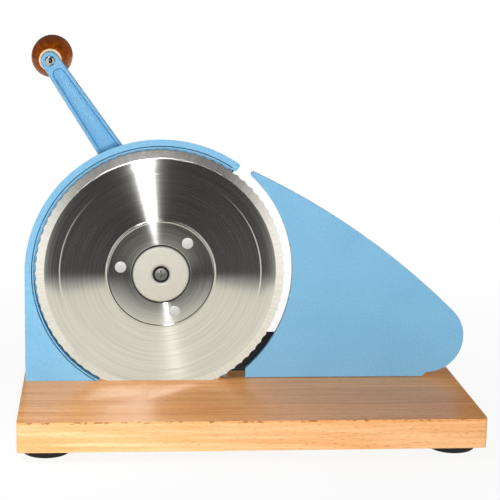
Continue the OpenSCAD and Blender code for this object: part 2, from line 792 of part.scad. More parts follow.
module handle_end_washer() {
    y0 = handle_seat_y + end_c;
    color(steel) ring(handle_axis, y0, y0 + handle_washer_t, handle_recess_r - end_c, spindle_r + fixed_c);
}

module handle_nut() {
    y0 = handle_seat_y + end_c + handle_washer_t;
    color(steel) nut(handle_axis, y0, y0 + handle_nut_t, handle_nut_af, spindle_r + fixed_c);
}

module stop_plate() {
    color(housing_blue) {
        slab(plate_y, plate_back_y) polygon(plate_points());
        for (x = rod_xs)
            ring([x, rod_z], plate_back_y, plate_back_y + plate_boss_l, plate_boss_r, rod_r + fixed_c);
        ring(adjuster_axis, plate_back_y, plate_back_y + plate_boss_l, sleeve_r + plate_boss_r - rod_r,
            sleeve_r + fixed_c);
    }
}

module guide_rod(x) { color(steel) bar([x, rod_z], plate_back_y, block_back_y + rod_tail, rod_r); }

module adjuster_sleeve() {
    color(bronze) ring(adjuster_axis, plate_back_y, sleeve_end_y, sleeve_r, adjuster_r + run_c);
}

module retainer_screw_places() {
    for (i = [0:2])
        translate([adjuster_axis[0], 0, adjuster_axis[1]]
            + retainer_pcd_r * [cos(90 + 120 * i), 0, sin(90 + 120 * i)]) children();
}

module guide_block() {
    color(black) difference() {
        union() {
            translate([block_left_x, block_y, top_z]) cube([guide_x + block_w / 2 - block_left_x, block_d, block_h]);
            bar(adjuster_axis, block_y, block_back_y, hump_r);
        }
        for (x = rod_xs) bar([x, rod_z], block_y - 1, block_back_y + 1, rod_r + run_c);
        bar(adjuster_axis, block_y - 1, block_back_y + 1, sleeve_r + run_c);
        block_bolt_places() bolt(fixed_c);
        retainer_screw_places() bar([0, 0], block_back_y - retainer_bite - fixed_c, block_back_y + 1,
            retainer_screw_r + fixed_c);
    }
}

module guide_block_bolts() { color(steel) block_bolt_places() bolt(); }

module adjuster_spindle() {
    color(steel) {
        bar(adjuster_axis, spindle_y, dial_nut_y + dial_nut_t + thread_end, adjuster_r);
        bar(adjuster_axis, block_back_y + end_c, block_back_y + collar_pocket_d - run_c, adjuster_collar_r);
    }
}

module dial_retainer() {
    color("#45474b") difference() {
        bar(adjuster_axis, block_back_y, retainer_back_y, retainer_r);
        bar(adjuster_axis, block_back_y - 1, block_back_y + collar_pocket_d, adjuster_collar_r + end_c);
        bar(adjuster_axis, block_back_y, retainer_back_y + 1, adjuster_r + run_c);
        retainer_screw_places()
            bar([0, 0], block_back_y - 1, retainer_back_y + 1, retainer_screw_r + fixed_c);
    }
}

module retainer_screws() {
    color(steel) retainer_screw_places() {
        bar([0, 0], block_back_y - retainer_bite, retainer_back_y, retainer_screw_r);
        bar([0, 0], retainer_back_y, retainer_back_y + retainer_head_t, retainer_head_r);
    }
}

module thickness_dial() {
    edge = dial_t / 8;
    color(black) difference() {
        turned(adjuster_axis, [
            [adjuster_r + fixed_c, dial_y], [dial_r, dial_y], [dial_r, dial_nut_y - edge],
            [dial_r - edge, dial_nut_y], [adjuster_r + fixed_c, dial_nut_y]]);
        for (i = [0:dial_notches - 1])
            bar(adjuster_axis + polar(dial_r + dial_notch_r / 3, 360 * i / dial_notches),
                dial_y + dial_t / 4, dial_nut_y + 1, dial_notch_r);
    }
}

module dial_nut() {
    color(steel) nut(adjuster_axis, dial_nut_y, dial_nut_y + dial_nut_t, dial_nut_af, adjuster_r + fixed_c);
}

base_board();
foot(-1, -1);  // foot_front_left
foot(1, -1);  // foot_front_right
foot(-1, 1);  // foot_rear_left
foot(1, 1);  // foot_rear_right
foot_screws();
housing();
housing_bolts();
blade_axle();
thrust_washer();
axle_washer();
axle_nut();
hub_cap();
cap_screw();
blade();
blade_rivets();
blade_gear();
gear_bush();
crank_gear();
crank_shaft();
crank_bush_front();
crank_bush_rear();
crank_arm();
crank_washer();
crank_nut();
handle_spindle();
handle_washer();
handle();
handle_end_washer();
handle_nut();
stop_plate();
guide_rod(rod_xs[0]);  // guide_rod_left
guide_rod(rod_xs[1]);  // guide_rod_right
adjuster_sleeve();
guide_block();
guide_block_bolts();
adjuster_spindle();
dial_retainer();
retainer_screws();
thickness_dial();
dial_nut();
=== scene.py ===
"""Looks of the hand crank bread slicer: finishes, detailed turned pieces and a plain studio, in metres."""
import json
import math

import bmesh
import bpy
import numpy as np
from mathutils import Matrix, Vector


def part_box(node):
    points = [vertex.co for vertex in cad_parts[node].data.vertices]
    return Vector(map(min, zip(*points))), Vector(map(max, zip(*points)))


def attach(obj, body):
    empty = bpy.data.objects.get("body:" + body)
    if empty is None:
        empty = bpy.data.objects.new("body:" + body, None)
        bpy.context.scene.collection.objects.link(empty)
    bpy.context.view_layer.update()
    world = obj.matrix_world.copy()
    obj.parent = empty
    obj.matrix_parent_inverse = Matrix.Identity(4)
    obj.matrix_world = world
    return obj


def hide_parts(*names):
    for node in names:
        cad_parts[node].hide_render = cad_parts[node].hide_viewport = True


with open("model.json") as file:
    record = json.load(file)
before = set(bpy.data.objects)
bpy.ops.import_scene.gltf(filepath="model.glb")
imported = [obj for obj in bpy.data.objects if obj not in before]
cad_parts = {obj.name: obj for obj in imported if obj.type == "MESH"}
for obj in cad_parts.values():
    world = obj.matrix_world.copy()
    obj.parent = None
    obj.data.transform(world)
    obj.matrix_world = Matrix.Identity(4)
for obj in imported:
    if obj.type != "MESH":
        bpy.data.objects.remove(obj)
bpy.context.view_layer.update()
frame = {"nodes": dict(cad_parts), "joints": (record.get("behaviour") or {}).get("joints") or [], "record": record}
MM = 0.001
TURN = 2 * math.pi
NODES = frame["nodes"]
JOINTS = {joint["name"]: joint for joint in frame["joints"]}


def axis_of(joint):
    """A joint's axis along Y, as (x, z)."""
    return np.array(JOINTS[joint]["pos_m"])[[0, 2]]


BLADE_AXIS = axis_of("blade_spin")
CRANK_AXIS = axis_of("crank_spin")
HANDLE_AXIS = axis_of("handle_spin")
DIAL_AXIS = axis_of("dial_turn")


# Meshes

def finish_mesh(mesh, body, materials, replaces=(), sharp=30):
    """A piece from a mesh: smooth shading with edges kept sharp past an angle, its finish and its body."""
    mesh.shade_smooth()
    mesh.set_sharp_from_angle(angle=math.radians(sharp))
    for material in materials:
        mesh.materials.append(material)
    piece = bpy.data.objects.new(mesh.name, mesh)
    bpy.context.scene.collection.objects.link(piece)
    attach(piece, body)
    if replaces:
        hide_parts(*replaces)
    return piece


def grid_mesh(name, grid, wrap_rows=False, caps=False):
    """Quads between the rows of a grid of points (rows, columns, 3), whose columns wrap round.
    wrap_rows joins the last row to the first; caps fills the first and the last row with one face each."""
    rows, columns = grid.shape[:2]
    index = np.arange(rows * columns).reshape(rows, columns)
    lower = index if wrap_rows else index[:-1]
    upper = np.roll(index, -1, axis=0) if wrap_rows else index[1:]
    quads = np.stack([lower, upper, np.roll(upper, -1, 1), np.roll(lower, -1, 1)], -1).reshape(-1, 4)
    faces = quads.tolist()
    if caps:
        faces += [index[0].tolist(), index[-1, ::-1].tolist()]
    mesh = bpy.data.meshes.new(name)
    mesh.from_pydata(grid.reshape(-1, 3).tolist(), [], faces)
    mesh.update()
    return mesh


def turned_grid(profile, axis, columns=96):
    """A profile of (radius, y) turned round a line along Y: x = axis x + r cos a, z = axis z + r sin a."""
    r, y = np.asarray(profile, float).T[:, :, None]
    a = np.linspace(0, TURN, columns, endpoint=False)
    return np.stack(np.broadcast_arrays(axis[0] + r * np.cos(a), y, axis[1] + r * np.sin(a)), -1)


def rounded(points, radius, steps=5):
    """A profile whose inner corners become curves B(t) = (1-t)^2 start + 2t(1-t) corner + t^2 end. A curve
    starts and ends a radius away from its corner, or half way to the neighbour."""
    p = np.asarray(points, float)
    t = np.linspace(0, 1, steps)[:, None]
    out = [p[:1]]
    for before, corner, after in zip(p[:-2], p[1:-1], p[2:]):
        start, end = [corner + (q - corner) * min(radius / np.linalg.norm(q - corner), 0.49)
                      for q in (before, after)]
        out.append((1 - t) ** 2 * start + 2 * t * (1 - t) * corner + t ** 2 * end)
    return np.concatenate(out + [p[-1:]])


def dressed(node, body, material, edge, angle=35, reshape=None):
    """A merged copy of a CAD node with its edges rounded by a bevel, as a cast or milled piece has them."""
    copy = bmesh.new()
    copy.from_mesh(NODES[node].data)
    bmesh.ops.remove_doubles(copy, verts=copy.verts, dist=1e-6)
    bmesh.ops.dissolve_limit(copy, angle_limit=math.radians(0.5), verts=copy.verts, edges=copy.edges)
    mesh = bpy.data.meshes.new(node + "_dressed")
    copy.to_mesh(mesh)
    copy.free()
    if reshape:
        points = np.array([v.co for v in mesh.vertices])
        mesh.vertices.foreach_set("co", reshape(points).astype(np.float32).ravel())
    piece = finish_mesh(mesh, body, [material], [node], sharp=angle)
    bevel = piece.modifiers.new("edge", "BEVEL")
    bevel.width = edge
    bevel.segments = 3
    bevel.limit_method = "ANGLE"
    bevel.angle_limit = math.radians(angle)
    bevel.harden_normals = True
    return piece


# Materials

def linear(code):
    """An sRGB hex colour as linear RGBA."""
    c = np.array([int(code[i:i + 2], 16) for i in (1, 3, 5)]) / 255
    c = np.where(c <= 0.04045, c / 12.92, ((c + 0.055) / 1.055) ** 2.4)
    return (*c.tolist(), 1.0)


def add(tree, kind, settings=None, stops=(), **inputs):
    """A node with its settings, its colour stops of (place, hex colour), and its inputs, set to values or
    linked to sockets or to other nodes' results. An input is named with _ for a space, or by its number
    after an n."""
    made = tree.nodes.new("ShaderNode" + kind)
    for key, value in (settings or {}).items():
        setattr(made, key, value)
    for i, (place, code) in enumerate(stops):
        stop = made.color_ramp.elements[i] if i < 2 else made.color_ramp.elements.new(place)
        stop.position = place
        stop.color = linear(code)
    for key, value in inputs.items():
        numbered = key[0] == "n" and key[1:].isdigit()
        socket = made.inputs[int(key[1:]) if numbered else key.replace("_", " ")]
        if isinstance(value, bpy.types.Node):
            value = next(result for result in value.outputs if result.enabled)
        if isinstance(value, bpy.types.NodeSocket):
            tree.links.new(value, socket)
        else:
            socket.default_value = value
    return made


def new_tree(owner):
    """The empty node tree of a material or world."""
    owner.use_nodes = True
    owner.node_tree.nodes.clear()
    return owner.node_tree


def surface(material, tree, **inputs):
    """The material with its shader, whose constant inputs are set on the shader itself."""
    add(tree, "OutputMaterial", Surface=add(tree, "BsdfPrincipled", **inputs))
    return material


def powder_coat():
    """Powder coat on a casting: a satin skin with the orange peel of the baked powder."""
    material = bpy.data.materials.new("powder_coat_light_blue")
    tree = new_tree(material)
    place = add(tree, "TexCoord").outputs["Object"]
    peel = add(tree, "TexNoise", Vector=place, Scale=1 / (1.7 * MM), Detail=2.5, Roughness=0.6)
    drift = add(tree, "TexNoise", Vector=place, Scale=1 / (45 * MM))
    tone = add(tree, "ValToRGB", stops=((0.3, "#79b5da"), (0.7, "#7fbade")), Fac=drift)
    lift = add(tree, "MapRange", Value=peel, From_Min=0.3, From_Max=0.7, To_Min=0.92, To_Max=1.06)
    blue = add(tree, "VectorMath", {"operation": "SCALE"}, n0=tone, Scale=lift)
    relief = add(tree, "Bump", Height=peel, Strength=0.45, Distance=0.16 * MM)
    return surface(material, tree, Base_Color=blue, Normal=relief, Roughness=0.48, Specular_IOR_Level=0.25)


def beech_lacquer():
    """Lacquered beech glued from strips: long wavy grain with short dark flecks, a thin seam and a tone of
    its own for each strip, painted shade that makes the top face warmer and darker, small dark chips along
    the front's top edge, and a satin gloss. The flecks are coarser than life."""
    material = bpy.data.materials.new("beech_lacquered")
    tree = new_tree(material)
    low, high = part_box("base_board")
    place = add(tree, "TexCoord").outputs["Object"]
    axes = add(tree, "SeparateXYZ", Vector=place)
    across = add(tree, "MapRange", {"clamp": False}, Value=axes.outputs["Y"], From_Min=low.y - MM,
                 From_Max=low.y + 38.5 * MM)
    strip = add(tree, "Math", {"operation": "FLOOR"}, n0=across)
    own = add(tree, "TexWhiteNoise", {"noise_dimensions": "1D"}, W=strip)
    moved = add(tree, "VectorMath", {"operation": "ADD"}, n0=place, n1=own.outputs["Value"])
    along = add(tree, "Mapping", Vector=moved, Scale=(1 / (95 * MM), 1 / (5 * MM), 1 / (3.2 * MM)))
    grain = add(tree, "TexNoise", Vector=along, Scale=1.0, Detail=3.0, Roughness=0.5, Distortion=0.5)
    wood = add(tree, "ValToRGB", stops=((0.3, "#e6a466"), (0.5, "#f2b67d"), (0.7, "#fac793")), Fac=grain)
    short = add(tree, "Mapping", Vector=moved, Scale=(1 / (4.5 * MM), 1 / (0.9 * MM), 1 / (0.75 * MM)))
    spots = add(tree, "TexNoise", Vector=short, Scale=1.0, Detail=1.0)
    flecks = add(tree, "MapRange", Value=spots, From_Min=0.6, From_Max=0.7, To_Max=0.34)
    part = add(tree, "Math", {"operation": "FRACT"}, n0=across)
    seam = add(tree, "MapRange", Value=part, From_Max=0.014, To_Min=0.5, To_Max=0.0)
    bits = add(tree, "Mapping", Vector=place, Scale=(1 / (3.5 * MM), 1 / (2 * MM), 1 / (2 * MM)))
    broken = add(tree, "TexNoise", Vector=bits, Scale=1.0, Detail=1.0)
    chips = add(tree, "MapRange", Value=broken, From_Min=0.55, From_Max=0.64, To_Max=0.75)
    front = add(tree, "MapRange", Value=axes.outputs["Y"], From_Min=low.y + 0.6 * MM,
                From_Max=low.y + 2 * MM, To_Min=1.0, To_Max=0.0)
    top = add(tree, "MapRange", Value=axes.outputs["Z"], From_Min=high.z - 2 * MM,
              From_Max=high.z - 0.8 * MM)
    edge = add(tree, "Math", {"operation": "MULTIPLY"}, n0=front, n1=top)
    worn = add(tree, "Math", {"operation": "MULTIPLY"}, n0=chips, n1=edge)
    lines = add(tree, "Math", {"operation": "MAXIMUM"}, n0=flecks, n1=seam)
    dark = add(tree, "Math", {"operation": "MAXIMUM"}, n0=lines, n1=worn)
    flecked = add(tree, "Mix", {"data_type": "RGBA"}, Factor=dark, n6=wood, n7=linear("#8a5228"))
    tone = add(tree, "MapRange", Value=own.outputs["Value"], To_Min=0.9, To_Max=1.03)
    toned = add(tree, "VectorMath", {"operation": "SCALE"}, n0=flecked, Scale=tone)
    # Painted shade: the top face is warmed and darkened by a multiply, as its dimmer light would give
    warm = add(tree, "Mix", {"data_type": "RGBA", "blend_type": "MULTIPLY"}, Factor=top, n6=toned,
               n7=linear("#ffebd0"))
    relief = add(tree, "Bump", Height=grain, Strength=0.12, Distance=0.12 * MM)
    return surface(material, tree, Base_Color=warm, Normal=relief, Roughness=0.28, Specular_IOR_Level=0.14,
                   Coat_Weight=0.12, Coat_Roughness=0.1)


def blade_steel(name, roughness, anisotropy, rotation, sizes_mm, colours, depth_mm):
    """Stainless steel with fine marks that follow the direction outwards and the radius. Its tangent comes
    from the blade's own map, U round and V outwards."""
    material = bpy.data.materials.new(name)
    tree = new_tree(material)
    place = add(tree, "TexCoord").outputs["Object"]
    centred = add(tree, "Mapping", Vector=place, Location=(-BLADE_AXIS[0], 0, -BLADE_AXIS[1]),
                  Scale=(1, 0, 1))
    way = add(tree, "VectorMath", {"operation": "NORMALIZE"}, n0=centred)
    radius = add(tree, "VectorMath", {"operation": "LENGTH"}, n0=centred)
    ways = add(tree, "SeparateXYZ", Vector=way)
    polar = add(tree, "CombineXYZ", X=ways.outputs["X"], Y=radius, Z=ways.outputs["Z"])
    sized = add(tree, "Mapping", Vector=polar, Scale=[1 / (size * MM) for size in sizes_mm])
    marks = add(tree, "TexNoise", Vector=sized, Scale=1.0, Detail=1.0)
    tone = add(tree, "ValToRGB", stops=((0.3, colours[0]), (0.7, colours[1])), Fac=marks)
    rough = add(tree, "MapRange", Value=marks, From_Min=0.3, From_Max=0.7, To_Min=roughness * 0.95,
                To_Max=roughness * 1.05)
    tangent = add(tree, "Tangent", {"direction_type": "UV_MAP", "uv_map": "polar"})
    relief = add(tree, "Bump", Height=marks, Strength=0.03, Distance=depth_mm * MM)
    return surface(material, tree, Base_Color=tone, Roughness=rough, Normal=relief, Tangent=tangent,
                   Metallic=1.0, Anisotropic=anisotropy, Anisotropic_Rotation=rotation)


def grained_metal(name, dark, light, roughness, grain_mm, metallic=1.0, bump=0.1):
    """Metal with the fine even grain of plating, casting or satin anodising."""
    material = bpy.data.materials.new(name)
    tree = new_tree(material)
    place = add(tree, "TexCoord").outputs["Object"]
    grain = add(tree, "TexNoise", Vector=place, Scale=1 / (grain_mm * MM), Detail=3.0)
    tone = add(tree, "ValToRGB", stops=((0.3, dark), (0.7, light)), Fac=grain)
    rough = add(tree, "MapRange", Value=grain, From_Min=0.3, From_Max=0.7, To_Min=roughness * 0.85,
                To_Max=roughness * 1.15)
    relief = add(tree, "Bump", Height=grain, Strength=bump, Distance=0.05 * MM)
    return surface(material, tree, Base_Color=tone, Roughness=rough, Normal=relief, Metallic=metallic)


def varnished_handle():
    """Stained hardwood, turned and varnished: streaks along the handle under a thin varnish."""
    material = bpy.data.materials.new("hardwood_varnished")
    tree = new_tree(material)
    place = add(tree, "TexCoord").outputs["Object"]
    along = add(tree, "Mapping", Vector=place, Scale=(1 / (4 * MM), 1 / (60 * MM), 1 / (4 * MM)))
    grain = add(tree, "TexNoise", Vector=along, Scale=1.0, Detail=4.0, Roughness=0.55, Distortion=0.6)
    tone = add(tree, "ValToRGB", stops=((0.3, "#752f04"), (0.5, "#994608"), (0.7, "#b65b0d")), Fac=grain)
    relief = add(tree, "Bump", Height=grain, Strength=0.08, Distance=0.1 * MM)
    return surface(material, tree, Base_Color=tone, Normal=relief, Roughness=0.3, Specular_IOR_Level=0.015)


def moulded(name, dark, light, roughness, grain_mm, strength=0.3):
    """A moulded plastic or rubber with the fine spark-eroded grain of its mould."""
    material = bpy.data.materials.new(name)
    tree = new_tree(material)
    place = add(tree, "TexCoord").outputs["Object"]
    grain = add(tree, "TexNoise", Vector=place, Scale=1 / (grain_mm * MM))
    tone = add(tree, "ValToRGB", stops=((0.3, dark), (0.7, light)), Fac=grain)
    rough = add(tree, "MapRange", Value=grain, From_Min=0.3, From_Max=0.7, To_Min=roughness * 0.9,
                To_Max=roughness * 1.1)
    relief = add(tree, "Bump", Height=grain, Strength=strength, Distance=0.1 * MM)
    return surface(material, tree, Base_Color=tone, Roughness=rough, Normal=relief, Specular_IOR_Level=0.2)


paint = powder_coat()
beech = beech_lacquer()
handle_wood = varnished_handle()
# Brushed on a turntable: fine rings that spread each highlight into a ray from the centre
blade_face = blade_steel("stainless_ring_brushed", roughness=0.118, anisotropy=1.0, rotation=0.25,
                         sizes_mm=(900, 1.1, 900), colours=("#d5d4cf", "#e3e2dd"), depth_mm=0.004)
# Ground from the centre outwards: a bright bevel with faint short marks
blade_edge = blade_steel("stainless_edge_ground", roughness=0.2, anisotropy=0.85, rotation=0.0,
                         sizes_mm=(11, 40, 11), colours=("#e9e7e1", "#f4f2ee"), depth_mm=0.006)
# Satin anodising: soft, pale and without a mirror image
satin = grained_metal("aluminium_satin", "#bab8ad", "#c6c4ba", 0.5, 0.8, metallic=0.3)
# Polished chrome: a small bright mirror
chrome = grained_metal("chrome_polished", "#b4b6b8", "#bec0c2", 0.06, 6.0, bump=0.01)
# Bead-blasted steel: an even light grey
rivet_steel = grained_metal("steel_bead_blasted", "#b4b5b3", "#c6c7c5", 0.5, 0.7, metallic=0.5)
# Phosphated steel: a dull dark grey
screw_steel = grained_metal("steel_phosphated", "#6a6963", "#84837c", 0.45, 0.8)
# Zinc plating: a cool, slightly cloudy shine
zinc = grained_metal("steel_zinc_plated", "#a9abae", "#c0c2c4", 0.32, 1.2)
# Sintered bronze: a warm brown with open pores
bronze = grained_metal("bronze_sintered", "#a4794a", "#b98e58", 0.42, 0.9)
# Moulded rubber: nearly black and dull
rubber = moulded("rubber_moulded", "#151517", "#1f2022", 0.6, 0.7)
# Painted shadow: a dark slate blue strip that stands for the shade line in the guard's groove
groove_shade = moulded("vinyl_cord", "#2c4f68", "#355a74", 0.6, 0.7)
# Black nylon: a little glossier than the rubber
nylon_black = moulded("nylon_black", "#17181a", "#222326", 0.5, 0.9)
# Dark grey nylon gear teeth, dark so that the gap round the hub cap shows as painted shade
nylon_gear_gap_shade = moulded("nylon_graphite_filled", "#2c2d2f", "#38393b", 0.45, 0.9, 0.15)
# Pale beech, left bare: the ring between arm and handle
ring_wood = moulded("beech_ring", "#e9c49b", "#f3d6b2", 0.4, 1.5, 0.15)
# Printing ink: flat white strokes
white_ink = moulded("ink_white", "#dcdcd6", "#e6e6e0", 0.6, 0.6, 0.05)

FINISHES = {"beech": beech, "rubber": rubber, "blue_paint": paint, "blade_steel": zinc,
            "satin_aluminium": satin, "chrome": chrome, "bright_steel": zinc, "bronze": bronze,
            "gear_nylon": nylon_gear_gap_shade, "handle_wood": handle_wood, "ring_wood": ring_wood,
            "black_nylon": nylon_black}
for part in frame["record"]["subparts"]:
    cad_mesh = NODES[part["node"]].data
    cad_mesh.materials.clear()
    cad_mesh.materials.append(FINISHES[part["material_slot"]])


# Pieces

def make_blade():
    """Front and back of the blade as rings: r runs from the centre hole to an edge that is hollowed by
    scallops, edge(a) = R - depth (1 - (2u - 1)^2) with u the place in a scallop; y follows the pressed
    disc, a shallow cone, a step and the bevel, which is part of a cone too."""
    low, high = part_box("blade")
    edge_r = (high.x - low.x) / 2
    hole, disc, step, bevel = 22.6 * MM, 41 * MM, 76 * MM, 88 * MM
    scallops, per, depth = 82, 12, 1.0 * MM
    thick, tip = 1.5 * MM, 0.1 * MM
    y_disc = low.y
    y_mid = low.y + 1.2 * MM
    y_out = low.y + 2.0 * MM
    cone = disc + 0.8 * MM
    front = rounded([(hole, y_disc + 0.6 * MM), (hole, y_disc), (disc - 1.2 * MM, y_disc),
                     (disc - 0.5 * MM, y_disc - 0.15 * MM), (disc + 0.2 * MM, y_disc), (cone, y_mid),
                     (step, y_out - 0.2 * MM), (step + MM, y_out), (bevel, y_out)], 0.4 * MM, 6)
    back = np.array([(bevel, y_out), (step, y_out), (cone, y_mid), (disc, y_disc), (hole, y_disc)])
    a = np.linspace(0, TURN, scallops * per, endpoint=False)
    u = np.arange(len(a)) % per / per
    edge = edge_r - depth * (1 - (2 * u - 1) ** 2)
    t = np.linspace(0.02, 1, 8)[:, None]
    ground_r = bevel + (edge - bevel) * t
    ground = np.stack([ground_r, y_out + (thick - tip) * (ground_r - bevel) / (edge_r - bevel)])
    rim = np.stack([edge, np.full(len(a), y_out + thick)])[:, None]
    flat = [np.broadcast_to(rows.T[:, :, None], (2, len(rows), len(a)))
            for rows in (front, back + (0, thick))]
    r, y = np.concatenate([flat[0], ground, rim, flat[1]], 1)
    grid = np.stack([BLADE_AXIS[0] + r * np.cos(a), y, BLADE_AXIS[1] + r * np.sin(a)], -1)
    mesh = grid_mesh("blade_disc", grid, wrap_rows=True)
    corner = np.empty(len(mesh.loops), np.int32)
    mesh.loops.foreach_get("vertex_index", corner)
    turn = (corner % len(a)) / len(a)
    last = np.repeat(np.tile(np.arange(len(a)) == len(a) - 1, len(r)), 4)
    turn = np.where(last & (turn == 0), 1.0, turn)
    polar = np.stack([turn, r.ravel()[corner]], -1)
    mesh.uv_layers.new(name="polar").data.foreach_set("uv", polar.astype(np.float32).ravel())
    which = np.zeros((len(r), len(a)), np.int32)
    which[len(front) - 1:len(front) + len(t)] = 1
    finish_mesh(mesh, "blade_unit", [blade_face, blade_edge], ["blade"], sharp=25)
    mesh.polygons.foreach_set("material_index", which.ravel())


def make_rivets():
    """Rivet heads: low domes, y = face - rise (1 - (r / R)^2), on a circle round the blade's axis."""
    low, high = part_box("blade_rivets")
    radius, circle, first, rise = 4.3 * MM, 31 * MM, math.radians(50), 0.25 * MM
    r = np.linspace(0.2 * MM, radius, 8)
    dome = np.stack([r, low.y + rise * (r / radius) ** 2], -1)
    profile = np.concatenate([dome, [(radius, high.y), (0.2 * MM, high.y)]])
    for i in range(3):
        a = first + TURN * i / 3
        centre = BLADE_AXIS + circle * np.array([math.cos(a), math.sin(a)])
        mesh = grid_mesh(f"rivet_{i + 1}", turned_grid(profile, centre, 40), caps=True)
        finish_mesh(mesh, "blade_unit", [rivet_steel], ["blade_rivets"], sharp=40)


def make_cap():
    """Hub cap: a shallow dome, y = front + rise (r / R)^2, with a rounded rim and a dimple for its screw. A dark
    rubber ring lies in the dimple as painted shade round the screw: a small circle carried round the axis."""
    low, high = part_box("hub_cap")
    radius, bore, floor = (high.x - low.x) / 2, 2.6 * MM, low.y + 2.3 * MM
    r = np.linspace(7.8 * MM, radius - 0.9 * MM, 10)
    face = np.stack([r, low.y + 0.3 * MM * (r / radius) ** 2], -1)
    dimple = [(bore, floor), (5.2 * MM, floor), (6.7 * MM, low.y + 0.7 * MM)]
    rim = [(radius, low.y + 1.0 * MM), (radius, high.y), (bore, high.y)]
    profile = rounded(np.concatenate([dimple, face, rim]), 0.6 * MM, 4)
    mesh = grid_mesh("hub_cap_disc", turned_grid(profile, BLADE_AXIS, 128), wrap_rows=True)
    finish_mesh(mesh, "base", [satin], ["hub_cap"], sharp=40)
    b = np.linspace(0, TURN, 14, endpoint=False)
    # Painted shade: a dark ring in the dimple round the screw
    dimple_shade = np.stack([5.75 * MM - 0.75 * MM * np.cos(b), low.y + 1.15 * MM - 0.75 * MM * np.sin(b)], -1)
    ring = grid_mesh("cap_seal", turned_grid(dimple_shade, BLADE_AXIS, 72), wrap_rows=True)
    finish_mesh(ring, "base", [rubber], sharp=60)


def make_cap_screw():
    """Screw head: a dome with a cross, y = top + rise (r / R)^2 + depth where |x| or |z| is under half the
    cross."""
    low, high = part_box("cap_screw")
    radius, half, reach, depth = 4.9 * MM, 0.55 * MM, 3.2 * MM, 1.0 * MM
    r = np.linspace(0.05 * MM, radius - 0.3 * MM, 26)[:, None]
    a = np.linspace(0, TURN, 120, endpoint=False)
    x, z = r * np.cos(a), r * np.sin(a)
    near = np.minimum(np.abs(x), np.abs(z))
    cross = np.clip((half * 1.3 - near) / (half * 0.5), 0, 1) * np.clip((reach - r) / (0.5 * MM), 0, 1)
    y = low.y + 0.5 * MM * (r / radius) ** 2 + depth * cross
    head = np.stack([BLADE_AXIS[0] + x, y, BLADE_AXIS[1] + z], -1)
    stem = 2.4 * MM
    side = turned_grid([(radius, low.y + 0.8 * MM), (radius, low.y + 1.6 * MM), (stem, low.y + 1.6 * MM),
                        (stem, high.y)], BLADE_AXIS, 120)
    mesh = grid_mesh("cap_screw_head", np.concatenate([head, side]), caps=True)
    finish_mesh(mesh, "base", [screw_steel], ["cap_screw"], sharp=35)


def make_groove_shadow_strip():
    """A dark strip in the groove of the guard's face, painted shadow for the groove's shade line: an oval
    carried along an arc round the blade's axis, from the guard's end to the board."""
    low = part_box("housing")[0]
    radius, half = 97.3 * MM, 0.38 * MM
    first, last = math.radians(57), math.pi + math.asin((BLADE_AXIS[1] - low.z) / radius)
    a = np.linspace(first, last, 160)[:, None]
    b = np.linspace(0, TURN, 10, endpoint=False)
    r = radius + half * np.cos(b)
    y = low.y + 0.75 * MM - 0.55 * MM * np.sin(b)
    x, z = BLADE_AXIS[0] + r * np.cos(a), BLADE_AXIS[1] + r * np.sin(a)
    # Painted shadow: this dark strip stands for the shade in the groove
    mesh = grid_mesh("groove_cord", np.stack(np.broadcast_arrays(x, y, z), -1), caps=True)
    finish_mesh(mesh, "base", [groove_shade], sharp=60)


def tapered_outline(p, p_radius, q, q_radius, arc=25, line=13):
    """Two round ends joined by their tangents, as (x, z): an arc round q, a line, an arc round p and a line
    back."""
    way = q - p
    heading = math.atan2(way[1], way[0])
    side = math.acos((p_radius - q_radius) / np.hypot(*way))
    ends = []
    for centre, radius, first, last in ((q, q_radius, -side, side), (p, p_radius, side, TURN - side)):
        a = heading + np.linspace(first, last, arc)
        ends.append(centre + radius * np.stack([np.cos(a), np.sin(a)], -1))
    t = np.linspace(0, 1, line + 2)[1:-1, None]
    across = [start[-1] + (end[0] - start[-1]) * t for start, end in (ends, ends[::-1])]
    return np.concatenate([ends[0], across[0], ends[1], across[1]])


def make_crank_arm():
    """Crank arm: a tapered outline with rounded edges, whose front dips into a channel with a crowned
    floor. Each row is the outer outline or the channel's, drawn in by a step, at its own y. The hub is a
    turned barrel."""
    low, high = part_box("crank_arm")
    hub_r, tip_r, arm_t, edge, rim = 11 * MM, 7 * MM, 9 * MM, 1.3 * MM, 2.3 * MM
    back = high.y - 2 * MM
    face = back - arm_t
    way = HANDLE_AXIS - CRANK_AXIS
    length = np.hypot(*way)
    way = way / length
    taper = (hub_r - tip_r) / length

    def outline(inset):
        return tapered_outline(CRANK_AXIS, hub_r - inset, HANDLE_AXIS, tip_r - inset)

    def channel(inset):
        end_r, start_r = tip_r + 11 * MM * taper - rim, hub_r - 20 * MM * taper - rim
        start, end = CRANK_AXIS + (16 * MM + start_r) * way, HANDLE_AXIS - (7.4 * MM + end_r) * way
        return tapered_outline(start, start_r - inset, end, end_r - inset)

    a = np.linspace(0, math.pi / 2, 5)
    inset, drop = edge * (1 - np.cos(a)), edge * (1 - np.sin(a))
    rows = [(outline(i), back - d) for i, d in zip(inset[::-1], drop[::-1])]
    rows += [(outline(i), face + d) for i, d in zip(inset, drop)]
    dip = rounded([(-0.6, 0), (0, 0), (1.3, 4.8), (1.8, 4.9), (3.4, 4.1)], 0.4) * MM
    rows += [(channel(i), face + d) for i, d in dip]
    grid = np.array([np.insert(points, 1, y, axis=1) for points, y in rows])
    arm = grid_mesh("crank_arm_cast", grid[:, ::-1], caps=True)
    finish_mesh(arm, "crank", [paint], ["crank_arm"], sharp=50)
    barrel = rounded([(4 * MM, low.y), (13 * MM, low.y), (13 * MM, high.y), (4 * MM, high.y)], 1.2 * MM)
    hub = grid_mesh("crank_hub", turned_grid(barrel, CRANK_AXIS, 72), wrap_rows=True)
    finish_mesh(hub, "crank", [paint], ["crank_arm"], sharp=50)


